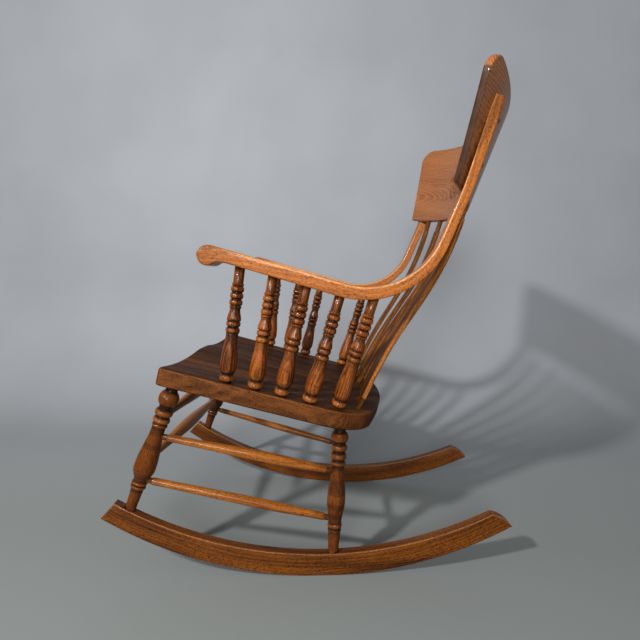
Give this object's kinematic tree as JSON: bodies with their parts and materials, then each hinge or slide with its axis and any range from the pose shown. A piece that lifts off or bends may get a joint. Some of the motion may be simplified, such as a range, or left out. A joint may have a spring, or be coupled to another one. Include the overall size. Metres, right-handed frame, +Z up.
{
  "type": "press back rocking chair",
  "caption": "Wooden rocking chair with a bent crest rail, flat back slats, bent one-piece arms and posts, turned arm spindles, turned legs and curved rockers.",
  "frame": {"origin": "on the floor, in the middle of the chair's bounding box from side to side and from front to back", "axes": "+Z up, -Y to the front of the chair, +X to the left of a person who sits in it"},
  "size_m": [0.633, 0.842, 0.9929],
  "materials": {
    "seat_oak": "dark brown stained oak, varnished",
    "crest_oak": "brown stained oak with a pressed ornament, varnished",
    "arm_oak": "orange-brown varnished oak, worn lighter on the edges",
    "turned_oak": "red-brown varnished oak, darker in the grooves",
    "rocker_oak": "brown varnished oak",
    "slat_oak": "brown varnished oak",
    "screw_steel": "darkened steel"
  },
  "bodies": {
    "root": {"seat": "seat_oak", "crest_rail": "crest_oak", "crest_screws": "screw_steel", "rocker_left": "rocker_oak", "rocker_right": "rocker_oak", "arm_left": "arm_oak", "arm_right": "arm_oak", "front_leg_left": "turned_oak", "front_leg_right": "turned_oak", "rear_leg_left": "turned_oak", "rear_leg_right": "turned_oak", "side_stretcher_upper_left": "turned_oak", "side_stretcher_upper_right": "turned_oak", "side_stretcher_lower_left": "turned_oak", "side_stretcher_lower_right": "turned_oak", "front_stretcher_upper": "turned_oak", "front_stretcher_lower": "turned_oak", "rear_stretcher": "turned_oak", "back_slat_1": "slat_oak", "back_slat_2": "slat_oak", "back_slat_3": "slat_oak", "back_slat_4": "slat_oak", "back_slat_5": "slat_oak", "back_slat_6": "slat_oak", "back_slat_7": "slat_oak", "arm_spindle_left_1": "turned_oak", "arm_spindle_left_2": "turned_oak", "arm_spindle_left_3": "turned_oak", "arm_spindle_left_4": "turned_oak", "arm_spindle_left_5": "turned_oak", "arm_spindle_right_1": "turned_oak", "arm_spindle_right_2": "turned_oak", "arm_spindle_right_3": "turned_oak", "arm_spindle_right_4": "turned_oak", "arm_spindle_right_5": "turned_oak"}
  },
  "joints": []
}
